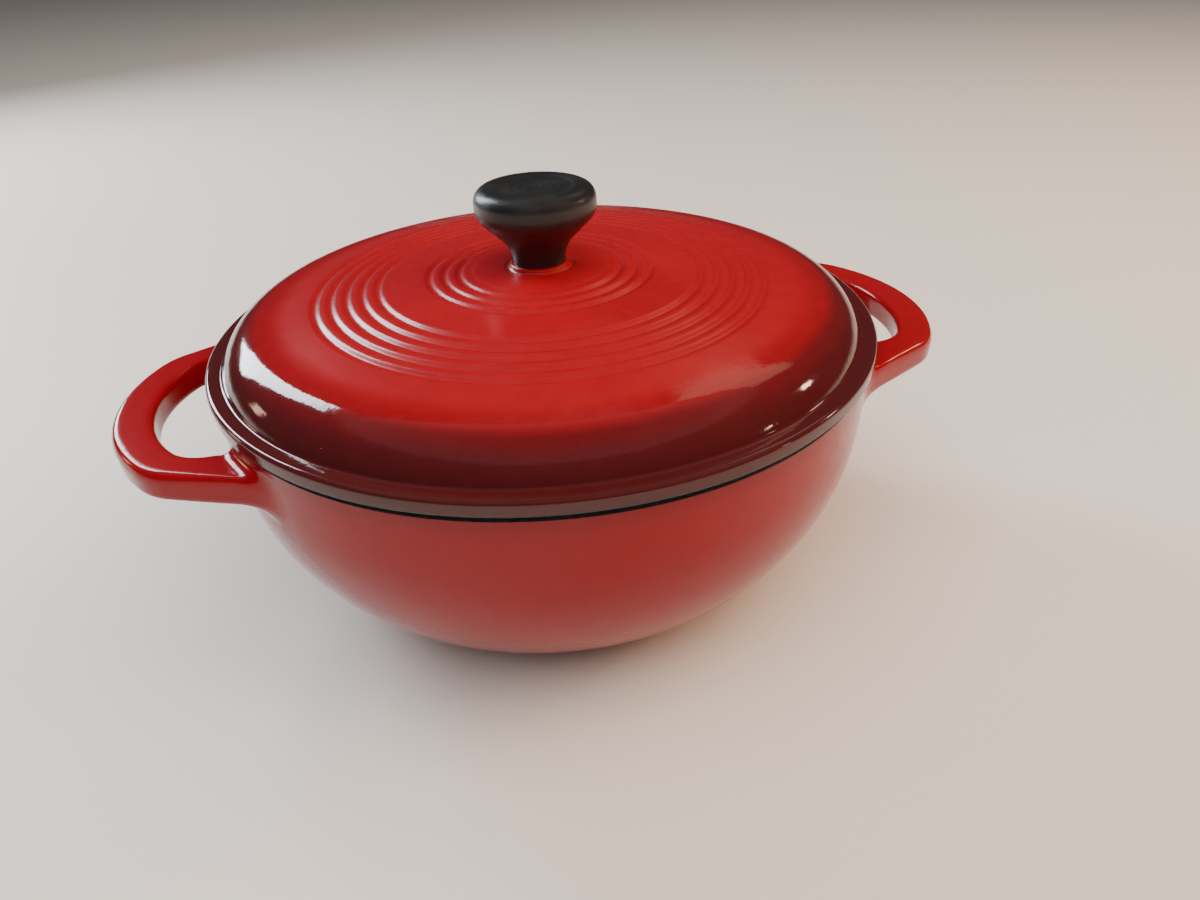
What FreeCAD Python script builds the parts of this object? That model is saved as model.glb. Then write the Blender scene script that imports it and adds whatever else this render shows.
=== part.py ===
import FreeCAD, Part
import math
import os
import Sketcher

# Enamelled cast iron dutch oven: a pot with two loop handles and a domed lid whose knob is
# held by a screw from below.  Millimetres, +Z up, +X along the handles.  The origin is the
# middle of the foot ring, on the surface that the pot stands on.

doc = FreeCAD.newDocument("DutchOven")

# ---------------------------------------------------------------- driving sizes

SIZES = {
    # pot body
    "pot_radius": 136.0,          # widest part of the wall, just under the rim
    "pot_height": 111.5,          # from the foot to the rim land
    "rim_band": 2.2,              # height of the bevelled rim above the widest part
    "rim_inset": 1.4,             # how far the bevel draws the land in
    "rim_round": 0.8,
    "rim_land": 4.9,              # flat top of the rim, before its edges are rounded
    "mouth_depth": 7.0,
    "mouth_blend": 7.0,
    "wall": 4.5,
    "wall_taper": 2.8,            # degrees from upright
    "bowl_radius": 92.0,
    "bowl_reach": 76.0,           # from the widest part in to the foot
    "foot_height": 1.5,
    "foot_draft": 0.6,
    "foot_ring": 8.0,
    "foot_recess": 1.0,
    "floor_height": 6.2,          # inside floor above the surface that the pot stands on
    # handles
    "handle_length": 40.3,        # from the widest part of the pot out to the tip
    "handle_drop": 7.6,           # from the rim down to the top of the loops
    "handle_thickness": 12.0,
    "handle_tip_radius": 80.0,
    "handle_corner_radius": 26.0,
    "handle_arm_angle": 25.0,     # degrees that an arm's outer side leans in
    "handle_arm_offset": 5.2,     # past the widest part, where an arm's side is at handle_arm_y
    "handle_arm_y": 58.5,
    "handle_root_radius": 24.0,
    "handle_root_lift": 1.554,    # from an arm's side line out to the root's end in the wall
    "handle_band": 15.8,          # width of the loop at its tip
    "gap_half_width": 43.8,
    "gap_tip_radius": 70.0,
    "gap_corner_radius": 15.0,
    "handle_rounding": 2.8,
    "handle_blend": 5.0,
    "trim_margin": 1.0,
    # lid
    "lid_overhang": 2.0,          # past the widest part of the pot
    "seat_gap": 0.3,              # enamel to enamel, lid on rim
    "flange_thickness": 6.2,
    "flange_width": 5.5,
    "flange_top_round": 1.8,
    "flange_under_round": 1.2,
    "lid_foot_radius": 1.5,       # hollow line where the dome rises from the flange
    "shoulder_width": 17.5,
    "shoulder_height": 20.1,      # dome above the flange's underside, where the shoulder starts
    "dome_radius": 680.0,
    "lid_wall": 4.5,
    "rib_clearance": 1.4,         # locating rib in the pot's mouth
    "rib_width": 4.5,
    "rib_depth": 4.0,
    "boss_margin": 1.6,           # round the foot of the knob
    "boss_height": 1.9,
    "boss_round": 0.8,
    "seat_pad_margin": 3.0,       # round the flat washer
    "seat_pad_depth": 1.0,
    # rings cast in the lid
    "groove_depth": 0.9,
    "groove_width": 4.7,
    "groove_lift": 0.5,           # how far a groove's cutting shape stands above the dome
    "outer_ring_inset": 22.4,     # from the shoulder in to the outermost ring
    "outer_ring_pitch": 6.4,
    "inner_ring_offset": 21.2,    # from the boss out to the innermost ring
    "inner_ring_pitch": 6.2,
    # knob and what holds it
    "knob_base_radius": 10.8,
    "knob_neck_radius": 15.0,
    "knob_flare": 45.0,           # degrees
    "knob_radius": 24.7,
    "knob_under_radius": 7.2,
    "knob_edge_radius": 5.5,
    "knob_side": 2.404,           # straight part of the head, between its roundings
    "knob_dish_radius": 16.0,
    "knob_dish_depth": 0.7,
    "insert_wall": 1.45,
    "insert_length": 15.0,
    "insert_waist_depth": 0.6,
    "insert_waist_length": 5.0,
    "insert_waist_slope": 0.6,
    "screw_radius": 3.0,
    "thread_clearance": 0.05,
    "screw_clearance": 0.5,
    "screw_end_gap": 3.0,         # from the screw's end up to the end of the insert
    "screw_head_overhang": 2.6,
    "screw_head_height": 3.8,
    "screw_head_round": 1.6,
    "recess_length": 5.6,
    "recess_width": 1.2,
    "recess_depth": 1.9,
    "washer_width": 4.7,
    "washer_thickness": 1.6,
    "washer_clearance": 0.3,
    "lock_washer_width": 2.1,
    "lock_washer_thickness": 1.5,
    "lock_washer_slit": 0.9,
}
OUTER_RINGS = 5                   # at most, where the dome has room for them
INNER_RINGS = 3

sheet = doc.addObject("Spreadsheet::Sheet", "Sizes")
for row, (alias, number) in enumerate(SIZES.items(), start=1):
    sheet.set(f"A{row}", alias)
    sheet.set(f"B{row}", str(number))
    sheet.setAlias(f"B{row}", alias)
doc.recompute()


def tied(formula):
    """Writes the sheet's name before each size in a formula."""
    words = []
    word = ""
    for letter in formula + " ":
        if letter.isalnum() or letter == "_":
            word += letter
            continue
        words.append("Sizes." + word if word in SIZES else word)
        words.append(letter)
        word = ""
    return "".join(words).strip()


def size(formula):
    """The number that a formula in the sheet's sizes gives now."""
    result = sheet.evalExpression(tied(formula))
    return float(getattr(result, "Value", result))


# Places and radii that several pieces share, as formulas in the sheet's sizes.
SEAT = "(pot_height + seat_gap)"
FLANGE_TOP = f"({SEAT} + flange_thickness)"
LID_RADIUS = "(pot_radius + lid_overhang)"
FLANGE_INSIDE = f"({LID_RADIUS} - flange_width)"
SHOULDER_START = f"({FLANGE_INSIDE} - shoulder_width)"
DOME_CENTRE = f"({SEAT} + shoulder_height - sqrt(dome_radius ^ 2 - {SHOULDER_START} ^ 2))"
BOSS_TOP = f"({DOME_CENTRE} + dome_radius + boss_height)"
PAD_UNDERSIDE = f"({DOME_CENTRE} + dome_radius - lid_wall - seat_pad_depth)"
WASHER_UNDERSIDE = f"({PAD_UNDERSIDE} - washer_thickness)"
HEAD_TOP = f"({WASHER_UNDERSIDE} - lock_washer_thickness)"
SCREW_HOLE = "(screw_radius + screw_clearance)"
WASHER_BORE = "(screw_radius + washer_clearance)"
WASHER_RADIUS = f"({WASHER_BORE} + washer_width)"
LOCK_WASHER_RADIUS = f"({WASHER_BORE} + lock_washer_width)"
SEAT_PAD_RADIUS = f"({WASHER_RADIUS} + seat_pad_margin)"
BOSS_RADIUS = "(knob_base_radius + boss_margin)"
MOUTH = "(pot_radius - rim_inset - rim_land)"


# ---------------------------------------------------------------- sketch helpers

START, END, CENTRE = 1, 2, 3
ORIGIN = (-1, 1)
LEVEL_AXIS, UPRIGHT_AXIS = -1, -2


def vector(point):
    return FreeCAD.Vector(point[0], point[1], 0)


def new_body(label):
    body = doc.addObject("PartDesign::Body", label)
    body.Label = label
    return body


def plane(body, role):
    return next(item for item in body.Origin.OriginFeatures if item.Role == role)


class Outline:
    """A sketch whose places and radii are formulas in the sheet's sizes."""

    def __init__(self, body, name, role="XZ_Plane", height=None):
        self.sketch = body.newObject("Sketcher::SketchObject", name)
        self.sketch.AttachmentSupport = (plane(body, role), [""])
        self.sketch.MapMode = "FlatFace"
        self.sketch.Visibility = False
        if height:
            self.sketch.setExpression("AttachmentOffset.Base.z", tied(height))

    def rule(self, kind, *where, by=None):
        """Adds a constraint; by is the formula for its size."""
        if by is None:
            self.sketch.addConstraint(Sketcher.Constraint(kind, *where))
            return
        number = math.radians(size(by)) if kind == "Angle" else size(by)
        index = self.sketch.addConstraint(Sketcher.Constraint(kind, *where, number))
        degrees = " * 1 deg" if kind == "Angle" else ""
        self.sketch.setExpression(f"Constraints[{index}]", f"({tied(by)}){degrees}")

    def edge(self, here, there):
        """A line, or an arc of less than half a turn where here names its centre."""
        if len(here) == 2:
            curve = Part.LineSegment(vector(here), vector(there))
        else:
            centre = vector(here[2])
            halfway = (vector(here) + vector(there)) * 0.5 - centre
            halfway.normalize()
            middle = centre + halfway * (vector(here) - centre).Length
            curve = Part.Arc(vector(here), middle, vector(there))
        return self.sketch.addGeometry(curve, False)

    def path(self, points, smooth=()):
        """A closed run of edges through points, tangent at the corners in smooth."""
        self.edges = []
        self.starts = []
        for here, there in zip(points, points[1:] + points[:1]):
            edge = self.edge(here, there)
            gap = (self.sketch.getPoint(edge, START) - vector(here)).Length
            self.edges.append(edge)
            self.starts.append(START if gap < 0.001 else END)
        for corner, (edge, start) in enumerate(zip(self.edges, self.starts)):
            stop = END if self.starts[corner - 1] == START else START
            kind = "Tangent" if corner in smooth else "Coincident"
            self.rule(kind, self.edges[corner - 1], stop, edge, start)

    def pin(self, corner, across=None, up=None):
        """Fixes a corner to a distance across and a height; 0 is the axis."""
        where = (self.edges[corner], self.starts[corner])
        if across == "0":
            self.rule("PointOnObject", *where, UPRIGHT_AXIS)
        elif across:
            self.rule("DistanceX", *ORIGIN, *where, by=across)
        if up == "0":
            self.rule("PointOnObject", *where, LEVEL_AXIS)
        elif up:
            self.rule("DistanceY", *ORIGIN, *where, by=up)

    def polygon(self, corners):
        """A closed outline of straight lines through corners given as formulas."""
        self.path([(size(across), size(up)) for across, up in corners])
        for corner, (across, up) in enumerate(corners):
            self.pin(corner, across, up)


def revolve(body, outline, name, kind="PartDesign::Revolution"):
    """Turns an outline once round the upright axis."""
    doc.recompute()
    turned = body.newObject(kind, name)
    turned.Profile = outline.sketch
    turned.ReferenceAxis = (outline.sketch, ["V_Axis"])
    turned.Angle = 360
    doc.recompute()
    return turned


def round_edges(body, base, name, wanted, radius):
    """Fillets the edges of base for which wanted(edge) is true."""
    names = [f"Edge{i}" for i, edge in enumerate(base.Shape.Edges, start=1) if wanted(edge)]
    if not names:
        raise ValueError(f"{name}: no edge to round")
    fillet = body.newObject("PartDesign::Fillet", name)
    fillet.Base = (base, names)
    fillet.setExpression("Radius", tied(radius))
    doc.recompute()
    if not fillet.isValid():
        raise ValueError(f"{name}: the rounding failed")
    return fillet


def level_ring(edge):
    """The radius and height of an edge that is a full level circle about the axis, or None."""
    curve = edge.Curve
    if not isinstance(curve, Part.Circle) or abs(curve.Axis.z) < 0.999:
        return None
    if math.hypot(curve.Center.x, curve.Center.y) > 0.01:
        return None
    return curve.Radius, curve.Center.z


def ring_at(*rings):
    """A test for the level circles with these radii and heights, given as formulas."""
    wanted = [(size(radius), size(height)) for radius, height in rings]

    def test(edge):
        ring = level_ring(edge)
        return bool(ring) and any(math.dist(ring, one) < 0.01 for one in wanted)

    return test


# ---------------------------------------------------------------- pot

WIDEST = "(pot_height - rim_band)"
LEAN = "tan(wall_taper * 1 deg)"
HANDLE_TOP = "(pot_height - handle_drop)"
HANDLE_UNDERSIDE = f"({HANDLE_TOP} - handle_thickness)"
HANDLE_REACH = "(pot_radius + handle_length)"
GAP_REACH = f"({HANDLE_REACH} - handle_band)"
ARM_X = "(pot_radius + handle_arm_offset)"
FOOT = "(pot_radius - bowl_reach)"
FOOT_LAND = f"({FOOT} - foot_draft)"


def bowl_centre():
    """Centre of the arc that leaves the wall smoothly and ends on the foot."""
    lean = math.radians(size("wall_taper"))
    radius = size("bowl_radius")
    start_x = size("pot_radius") - radius * math.cos(lean) - size(FOOT)
    start_z = size(WIDEST) + radius * math.sin(lean) - size("foot_height")
    along = start_x * math.sin(lean) + start_z * math.cos(lean)
    spare = along ** 2 - (start_x ** 2 + start_z ** 2 - radius ** 2)
    down = along - math.sqrt(spare)
    return (
        start_x + size(FOOT) - down * math.sin(lean),
        start_z + size("foot_height") - down * math.cos(lean),
    )


def pot_wall(body):
    lean = math.radians(size("wall_taper"))
    outward = (math.cos(lean), -math.sin(lean))
    centre = bowl_centre()
    bowl = size("bowl_radius")
    inside = bowl - size("wall")
    floor = size("floor_height")
    rim = size("pot_height")
    mouth = size(MOUTH)
    blend_end = size("pot_height - mouth_depth - mouth_blend")
    tangent = (centre[0] + bowl * outward[0], centre[1] + bowl * outward[1])
    inner_tangent = (centre[0] + inside * outward[0], centre[1] + inside * outward[1])
    inner_top = inner_tangent[0] + (blend_end - inner_tangent[1]) * math.tan(lean)
    floor_reach = centre[0] + math.sqrt(inside ** 2 - (centre[1] - floor) ** 2)
    ring = size(f"{FOOT_LAND} - foot_ring")
    section = Outline(body, "pot_section")
    section.path(
        [
            (0, size("foot_recess")),
            (ring, size("foot_recess")),
            (ring, 0),
            (size(FOOT_LAND), 0),
            (size(FOOT), size("foot_height"), centre),
            tangent,
            (size("pot_radius"), size(WIDEST)),
            (size("pot_radius - rim_inset"), rim),
            (mouth, rim),
            (mouth, size("pot_height - mouth_depth")),
            (inner_top, blend_end),
            (*inner_tangent, centre),
            (floor_reach, floor),
            (0, floor),
        ],
        smooth=(5, 11),
    )
    pins = [
        ("0", "foot_recess"),
        (f"{FOOT_LAND} - foot_ring", "foot_recess"),
        (f"{FOOT_LAND} - foot_ring", "0"),
        (FOOT_LAND, "0"),
        (FOOT, "foot_height"),
        (None, None),
        ("pot_radius", WIDEST),
        ("pot_radius - rim_inset", "pot_height"),
        (MOUTH, "pot_height"),
        (MOUTH, "pot_height - mouth_depth"),
        (None, "pot_height - mouth_depth - mouth_blend"),
        (None, None),
        (None, "floor_height"),
        ("0", "floor_height"),
    ]
    for corner, (across, up) in enumerate(pins):
        section.pin(corner, across, up)
    bowl_arc, wall_line = section.edges[4], section.edges[5]
    inner_line, inner_arc = section.edges[10], section.edges[11]
    section.rule("Radius", bowl_arc, by="bowl_radius")
    section.rule("Angle", wall_line, by="90 - wall_taper")
    section.rule("Parallel", wall_line, inner_line)
    section.rule("Distance", section.edges[6], section.starts[6], inner_line, by="wall")
    section.rule("Coincident", inner_arc, CENTRE, bowl_arc, CENTRE)
    return revolve(body, section, "pot_wall")


def touching_centre(round_centre, reach, line_point, normal, offset):
    """The point at a reach from one centre and at an offset from a line, outermost of the two."""
    along = (normal[1], -normal[0])
    height = line_point[0] * normal[0] + line_point[1] * normal[1] + offset
    foot = (height * normal[0] - round_centre[0], height * normal[1] - round_centre[1])
    middle = -(foot[0] * along[0] + foot[1] * along[1])
    spare = middle ** 2 - (foot[0] ** 2 + foot[1] ** 2 - reach ** 2)
    slide = middle + math.sqrt(spare)
    return (
        round_centre[0] + foot[0] + slide * along[0],
        round_centre[1] + foot[1] + slide * along[1],
    )


def mid_wall(height):
    """The radius of the middle of the tapered wall at a height, as a formula."""
    outside = f"pot_radius - {LEAN} * ({WIDEST} - {height})"
    return f"({outside} - wall / (2 * cos(wall_taper * 1 deg)))"


def handle_plan(body):
    """Half of one loop handle seen from above, from its tip to inside the pot's wall."""
    reach = size(HANDLE_REACH)
    tip, corner = size("handle_tip_radius"), size("handle_corner_radius")
    gap_tip, gap_corner = size("gap_tip_radius"), size("gap_corner_radius")
    root = size("handle_root_radius")
    gap_reach = size(GAP_REACH)
    gap_side = size("gap_half_width")
    arm = (size(ARM_X), size("handle_arm_y"))
    lean = math.radians(size("handle_arm_angle"))
    normal = (math.sin(lean), math.cos(lean))

    # The root's arc ends in the middle of the wall, halfway up the handle.
    middle = mid_wall(f"({HANDLE_TOP} - handle_thickness / 2)")
    turn = "(handle_arm_angle * 1 deg)"
    away = f"({ARM_X} * sin({turn}) + handle_arm_y * cos({turn}) + handle_root_lift)"
    along = f"sqrt({middle} ^ 2 - {away} ^ 2)"
    root_x = f"({away} * sin({turn}) + {along} * cos({turn}))"
    root_y = f"({away} * cos({turn}) - {along} * sin({turn}))"
    root_end = (size(root_x), size(root_y))

    tip_centre = (reach - tip, 0)
    gap_centre = (gap_reach - gap_tip, 0)
    corner_centre = touching_centre(tip_centre, tip - corner, arm, normal, -corner)
    root_centre = touching_centre(root_end, root, arm, normal, root)
    side = (gap_reach, gap_side)
    bend_centre = touching_centre(gap_centre, gap_tip - gap_corner, side, (0, 1), -gap_corner)

    def beyond(centre, through, radius):
        """The point at radius from centre, on the line through another centre."""
        share = radius / math.dist(centre, through)
        return (
            centre[0] + (through[0] - centre[0]) * share,
            centre[1] + (through[1] - centre[1]) * share,
        )

    plan = Outline(body, "handle_plan", "XY_Plane", HANDLE_UNDERSIDE)
    plan.path(
        [
            (reach, 0, tip_centre),
            (*beyond(tip_centre, corner_centre, tip), corner_centre),
            (corner_centre[0] + corner * normal[0], corner_centre[1] + corner * normal[1]),
            (root_centre[0] - root * normal[0], root_centre[1] - root * normal[1], root_centre),
            root_end,
            (root_end[0], gap_side),
            (bend_centre[0], gap_side, bend_centre),
            (*beyond(gap_centre, bend_centre, gap_tip), gap_centre),
            (gap_reach, 0),
        ],
        smooth=(1, 2, 3, 6, 7),
    )
    tip_arc, corner_arc, arm_line, root_arc, end_line = plan.edges[:5]
    gap_line, bend_arc, gap_arc = plan.edges[5:8]
    plan.pin(0, HANDLE_REACH, "0")
    plan.pin(4, root_x, root_y)
    plan.pin(5, None, "gap_half_width")
    plan.pin(8, GAP_REACH, "0")
    plan.rule("PointOnObject", tip_arc, CENTRE, LEVEL_AXIS)
    plan.rule("PointOnObject", gap_arc, CENTRE, LEVEL_AXIS)
    plan.rule("Radius", tip_arc, by="handle_tip_radius")
    plan.rule("Radius", corner_arc, by="handle_corner_radius")
    plan.rule("Radius", root_arc, by="handle_root_radius")
    plan.rule("Vertical", end_line)
    plan.rule("Radius", bend_arc, by="gap_corner_radius")
    plan.rule("Radius", gap_arc, by="gap_tip_radius")
    plan.rule("Horizontal", gap_line)
    plan.rule("Angle", arm_line, by="180 - handle_arm_angle")
    arm_mark = plan.sketch.addGeometry(Part.Point(vector(arm)), True)
    plan.rule("DistanceX", *ORIGIN, arm_mark, START, by=ARM_X)
    plan.rule("DistanceY", *ORIGIN, arm_mark, START, by="handle_arm_y")
    plan.rule("PointOnObject", arm_mark, START, arm_line)
    return plan


def on_wall(point):
    """True for a point of the pot's outer side: the taper, or the bowl below it."""
    lean = math.radians(size("wall_taper"))
    across = math.hypot(point.x, point.y)
    centre, bowl = bowl_centre(), size("bowl_radius")
    if point.z < centre[1] - bowl * math.sin(lean):
        return abs(math.dist((across, point.z), centre) - bowl) < 0.02
    radius = size("pot_radius") - math.tan(lean) * (size(WIDEST) - point.z)
    return abs(across - radius) < 0.02


def make_loop():
    """One loop handle, on the +X side, with its edges rounded."""
    body = new_body("loop")
    plan = handle_plan(body)
    doc.recompute()
    half = body.newObject("PartDesign::Pad", "half_loop")
    half.Profile = plan.sketch
    half.setExpression("Length", tied("handle_thickness"))
    doc.recompute()
    whole = body.newObject("PartDesign::Mirrored", "whole_loop")
    whole.Originals = [half]
    whole.MirrorPlane = (plane(body, "XZ_Plane"), [""])
    body.Tip = whole
    doc.recompute()

    inmost = whole.Shape.BoundBox.XMin

    def outline_edge(edge):
        """An edge of the top or underside that doesn't end up inside the pot."""
        box = edge.BoundBox
        return box.ZMax - box.ZMin < 0.01 and box.XMax > inmost + 0.01

    round_edges(body, whole, "loop_edges", outline_edge, "handle_rounding")

    # What would stand inside the pot is taken off again, down the middle of the wall.
    low, high = f"({HANDLE_UNDERSIDE} - trim_margin)", f"({HANDLE_TOP} + trim_margin)"
    trim = Outline(body, "trim_section")
    trim.polygon([("0", low), (mid_wall(low), low), (mid_wall(high), high), ("0", high)])
    revolve(body, trim, "loop_trim", "PartDesign::Groove")
    return body


def make_pot():
    """The casting: wall, floor and both loop handles in one piece."""
    wall_body = new_body("wall_shell")
    pot_wall(wall_body)
    near_loop = make_loop()
    far_loop = doc.addObject("Part::Mirroring", "far_loop")
    far_loop.Source = near_loop
    far_loop.Normal = (1, 0, 0)
    casting = doc.addObject("Part::MultiFuse", "pot_casting")
    casting.Shapes = [wall_body, near_loop, far_loop]
    casting.Refine = True
    doc.recompute()

    body = new_body("pot")
    body.BaseFeature = casting
    doc.recompute()

    def root_edge(edge):
        """An edge where a loop meets the wall."""
        if edge.BoundBox.ZMin < size(HANDLE_UNDERSIDE) - 0.1:
            return False
        if edge.BoundBox.ZMax > size(HANDLE_TOP) + 0.1:
            return False
        span = edge.LastParameter - edge.FirstParameter
        return all(on_wall(edge.valueAt(edge.FirstParameter + span * t)) for t in (0.1, 0.5, 0.9))

    blended = round_edges(body, body.Tip, "handle_roots", root_edge, "handle_blend")
    rim = ring_at(("pot_radius - rim_inset", "pot_height"), (MOUTH, "pot_height"))
    round_edges(body, blended, "rim_edges", rim, "rim_round")
    return body


# ---------------------------------------------------------------- lid

RIB_OUTSIDE = f"({MOUTH} - rib_clearance)"
RIB_INSIDE = f"({RIB_OUTSIDE} - rib_width)"
RIB_BOTTOM = f"({SEAT} - rib_depth)"
CUTTER = "((groove_width ^ 2 / 4 + groove_depth ^ 2) / (2 * groove_depth))"


def lid_wall(body):
    dome = size("dome_radius")
    inner_dome = dome - size("lid_wall")
    dome_centre = (0, size(DOME_CENTRE))
    start = (size(SHOULDER_START), size(f"{SEAT} + shoulder_height"))
    foot = size("lid_foot_radius")
    foot_end = (size(FLANGE_INSIDE), size(FLANGE_TOP))
    foot_centre = (foot_end[0], foot_end[1] + foot)

    # The shoulder arc leaves the dome smoothly and runs smoothly into the foot arc.
    inward = (-start[0] / dome, (dome_centre[1] - start[1]) / dome)
    gap = (start[0] - foot_centre[0], start[1] - foot_centre[1])
    lean = gap[0] * inward[0] + gap[1] * inward[1]
    shoulder = (gap[0] ** 2 + gap[1] ** 2 - foot ** 2) / (2 * (foot - lean))
    centre = (start[0] + shoulder * inward[0], start[1] + shoulder * inward[1])
    share = shoulder / (shoulder + foot)
    meeting = (
        centre[0] + (foot_centre[0] - centre[0]) * share,
        centre[1] + (foot_centre[1] - centre[1]) * share,
    )
    inner_shoulder = shoulder - size("lid_wall")
    inner_start = (
        centre[0] - inner_shoulder * inward[0],
        centre[1] - inner_shoulder * inward[1],
    )
    rib = size(RIB_INSIDE)
    rib_top = centre[1] + math.sqrt(inner_shoulder ** 2 - (rib - centre[0]) ** 2)

    def dome_height(radius, across):
        return dome_centre[1] + math.sqrt(radius ** 2 - across ** 2)

    hole, boss, pad = size(SCREW_HOLE), size(BOSS_RADIUS), size(SEAT_PAD_RADIUS)
    section = Outline(body, "lid_section")
    section.path(
        [
            (hole, size(BOSS_TOP)),
            (boss, size(BOSS_TOP)),
            (boss, dome_height(dome, boss), dome_centre),
            (*start, centre),
            (*meeting, foot_centre),
            foot_end,
            (size(LID_RADIUS), size(FLANGE_TOP)),
            (size(LID_RADIUS), size(SEAT)),
            (size(RIB_OUTSIDE), size(SEAT)),
            (size(RIB_OUTSIDE), size(RIB_BOTTOM)),
            (rib, size(RIB_BOTTOM)),
            (rib, rib_top, centre),
            (*inner_start, dome_centre),
            (pad, dome_height(inner_dome, pad)),
            (pad, size(PAD_UNDERSIDE)),
            (hole, size(PAD_UNDERSIDE)),
        ],
        smooth=(3, 4, 5, 12),
    )
    pins = [
        (SCREW_HOLE, BOSS_TOP),
        (BOSS_RADIUS, BOSS_TOP),
        (BOSS_RADIUS, None),
        (SHOULDER_START, f"{SEAT} + shoulder_height"),
        (None, None),
        (FLANGE_INSIDE, FLANGE_TOP),
        (LID_RADIUS, FLANGE_TOP),
        (LID_RADIUS, SEAT),
        (RIB_OUTSIDE, SEAT),
        (RIB_OUTSIDE, RIB_BOTTOM),
        (RIB_INSIDE, RIB_BOTTOM),
        (RIB_INSIDE, None),
        (None, None),
        (SEAT_PAD_RADIUS, None),
        (SEAT_PAD_RADIUS, PAD_UNDERSIDE),
        (SCREW_HOLE, PAD_UNDERSIDE),
    ]
    for corner, (across, up) in enumerate(pins):
        section.pin(corner, across, up)
    dome_arc, shoulder_arc, foot_arc = section.edges[2:5]
    inner_shoulder_arc, inner_dome_arc = section.edges[11:13]
    section.rule("PointOnObject", dome_arc, CENTRE, UPRIGHT_AXIS)
    section.rule("Radius", dome_arc, by="dome_radius")
    section.rule("Radius", foot_arc, by="lid_foot_radius")
    section.rule("Coincident", inner_shoulder_arc, CENTRE, shoulder_arc, CENTRE)
    section.rule("Coincident", inner_dome_arc, CENTRE, dome_arc, CENTRE)
    section.rule("Radius", inner_dome_arc, by="dome_radius - lid_wall")
    return revolve(body, section, "lid_wall")


def ring_places():
    """The radius of each ring groove's middle, as formulas."""
    first = f"({BOSS_RADIUS} + inner_ring_offset)"
    inner = [f"({first} + {i} * inner_ring_pitch)" for i in range(INNER_RINGS)]
    outermost = f"({SHOULDER_START} - outer_ring_inset)"
    room = size(f"({outermost} - {inner[-1]}) / outer_ring_pitch")
    count = min(OUTER_RINGS, math.floor(room))
    outer = [f"({outermost} - {i} * outer_ring_pitch)" for i in range(count)]
    return outer + inner


def ring_grooves(body):
    """Shallow round-bottomed grooves, all equally deep in the dome."""
    drawing = Outline(body, "ring_section")
    sketch = drawing.sketch
    centre = sketch.addGeometry(Part.Point(vector((0, size(DOME_CENTRE)))), True)
    drawing.rule("PointOnObject", centre, START, UPRIGHT_AXIS)
    drawing.rule("DistanceY", *ORIGIN, centre, START, by=DOME_CENTRE)
    cutter = size(CUTTER)
    drop = size(f"{CUTTER} - groove_depth - groove_lift")
    half = math.sqrt(cutter ** 2 - drop ** 2)
    reach = f"(dome_radius + {CUTTER} - groove_depth)"
    for place in ring_places():
        lean = math.asin(size(place) / size(reach))
        out = (math.sin(lean), math.cos(lean))
        middle = (size(place), size(DOME_CENTRE) + size(reach) * math.cos(lean))
        foot = (middle[0] - drop * out[0], middle[1] - drop * out[1])
        inner_lip = (foot[0] - half * out[1], foot[1] + half * out[0])
        outer_lip = (foot[0] + half * out[1], foot[1] - half * out[0])
        drawing.path([(*inner_lip, middle), outer_lip])
        scoop = drawing.edges[0]
        drawing.rule("Radius", scoop, by=CUTTER)
        drawing.rule("DistanceX", *ORIGIN, scoop, CENTRE, by=place)
        drawing.rule("Distance", centre, START, scoop, CENTRE, by=reach)
        for end in (START, END):
            drawing.rule("Distance", centre, START, scoop, end, by="dome_radius + groove_lift")
    return revolve(body, drawing, "ring_grooves", "PartDesign::Groove")


def make_lid():
    body = new_body("lid")
    solid = lid_wall(body).Shape.Volume
    grooves = ring_grooves(body)
    if grooves.Shape.Volume >= solid:
        raise ValueError("lid: the ring grooves cut nothing")
    top = ring_at((LID_RADIUS, FLANGE_TOP))
    flange = round_edges(body, grooves, "flange_top_edge", top, "flange_top_round")
    under = ring_at(
        (LID_RADIUS, SEAT), (RIB_OUTSIDE, RIB_BOTTOM), (RIB_INSIDE, RIB_BOTTOM)
    )
    flange = round_edges(body, flange, "flange_under_edge", under, "flange_under_round")
    boss = ring_at((BOSS_RADIUS, BOSS_TOP))
    round_edges(body, flange, "boss_edge", boss, "boss_round")
    return body


# ---------------------------------------------------------------- knob and its fastening

WAIST_START = "(insert_length - insert_waist_length) / 2"
WAIST_END = "(insert_length + insert_waist_length) / 2"
INSERT_BORE = "(screw_radius + thread_clearance)"
INSERT_RADIUS = f"({INSERT_BORE} + insert_wall)"
INSERT_WAIST = f"({INSERT_RADIUS} - insert_waist_depth)"
SCREW_TOP = f"({BOSS_TOP} + insert_length - screw_end_gap)"
HEAD_RADIUS = "(screw_radius + screw_head_overhang)"
FLARE = "(knob_flare * 1 deg)"
FLARE_START = f"(knob_base_radius + knob_neck_radius * (1 - cos({FLARE})))"
FLARE_END = f"(knob_radius - knob_under_radius * (1 - cos({FLARE})))"
FLARE_RISE = f"(({FLARE_END} - {FLARE_START}) * tan({FLARE}))"
BEND_RISE = f"((knob_neck_radius + knob_under_radius) * sin({FLARE}))"
KNOB_TOP = f"({BOSS_TOP} + {BEND_RISE} + {FLARE_RISE} + knob_side + knob_edge_radius)"


def insert_side():
    """The insert's outer side from the knob's underside up, as corners."""
    return [
        (INSERT_RADIUS, BOSS_TOP),
        (INSERT_RADIUS, f"{BOSS_TOP} + {WAIST_START} - insert_waist_slope"),
        (INSERT_WAIST, f"{BOSS_TOP} + {WAIST_START}"),
        (INSERT_WAIST, f"{BOSS_TOP} + {WAIST_END}"),
        (INSERT_RADIUS, f"{BOSS_TOP} + {WAIST_END} + insert_waist_slope"),
        (INSERT_RADIUS, f"{BOSS_TOP} + insert_length"),
    ]


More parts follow.
